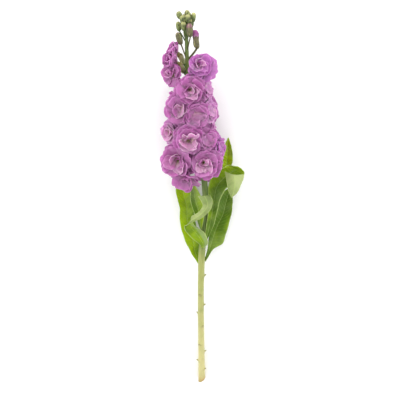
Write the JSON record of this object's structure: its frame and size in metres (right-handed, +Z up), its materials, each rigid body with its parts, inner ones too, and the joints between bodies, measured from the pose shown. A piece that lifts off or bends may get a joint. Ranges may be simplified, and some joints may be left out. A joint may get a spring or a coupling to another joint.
{
  "type": "cut flower stem",
  "caption": "Cut stem of double mauve stock lying down: a spike of ruffled blooms with green buds at the tip, soft leaves below it and a bare lower stem.",
  "frame": {"origin": "centre of the bounding box, at the height of the surface that the stem lies on", "axes": "+Y along the stem from its cut end to its tip, +Z up from the surface, +X across the stem"},
  "size_m": [0.0904, 0.4639, 0.0675],
  "materials": {
    "stem": "fresh green skin, satin",
    "petal": "soft mauve petal, velvety matt",
    "leaf": "soft grey-green leaf, satin"
  },
  "bodies": {
    "root": {"stem": "stem", "bloom_01": "petal", "bloom_02": "petal", "bloom_03": "petal", "bloom_04": "petal", "bloom_05": "petal", "bloom_06": "petal", "bloom_07": "petal", "bloom_08": "petal", "bloom_09": "petal", "bloom_10": "petal", "bloom_11": "petal", "bloom_12": "petal", "bloom_13": "petal", "bloom_14": "petal", "bloom_15": "petal", "bloom_16": "petal", "bloom_17": "petal", "bloom_18": "petal", "bloom_19": "petal", "bloom_20": "petal", "bloom_21": "petal", "bloom_22": "petal", "bloom_23": "petal", "bloom_24": "petal", "bloom_25": "petal", "bloom_26": "petal", "bloom_27": "petal", "leaf_left": "leaf", "leaf_right": "leaf", "leaf_cornet": "leaf", "leaf_front": "leaf", "leaf_inner": "leaf", "leaf_back": "leaf"}
  },
  "joints": []
}
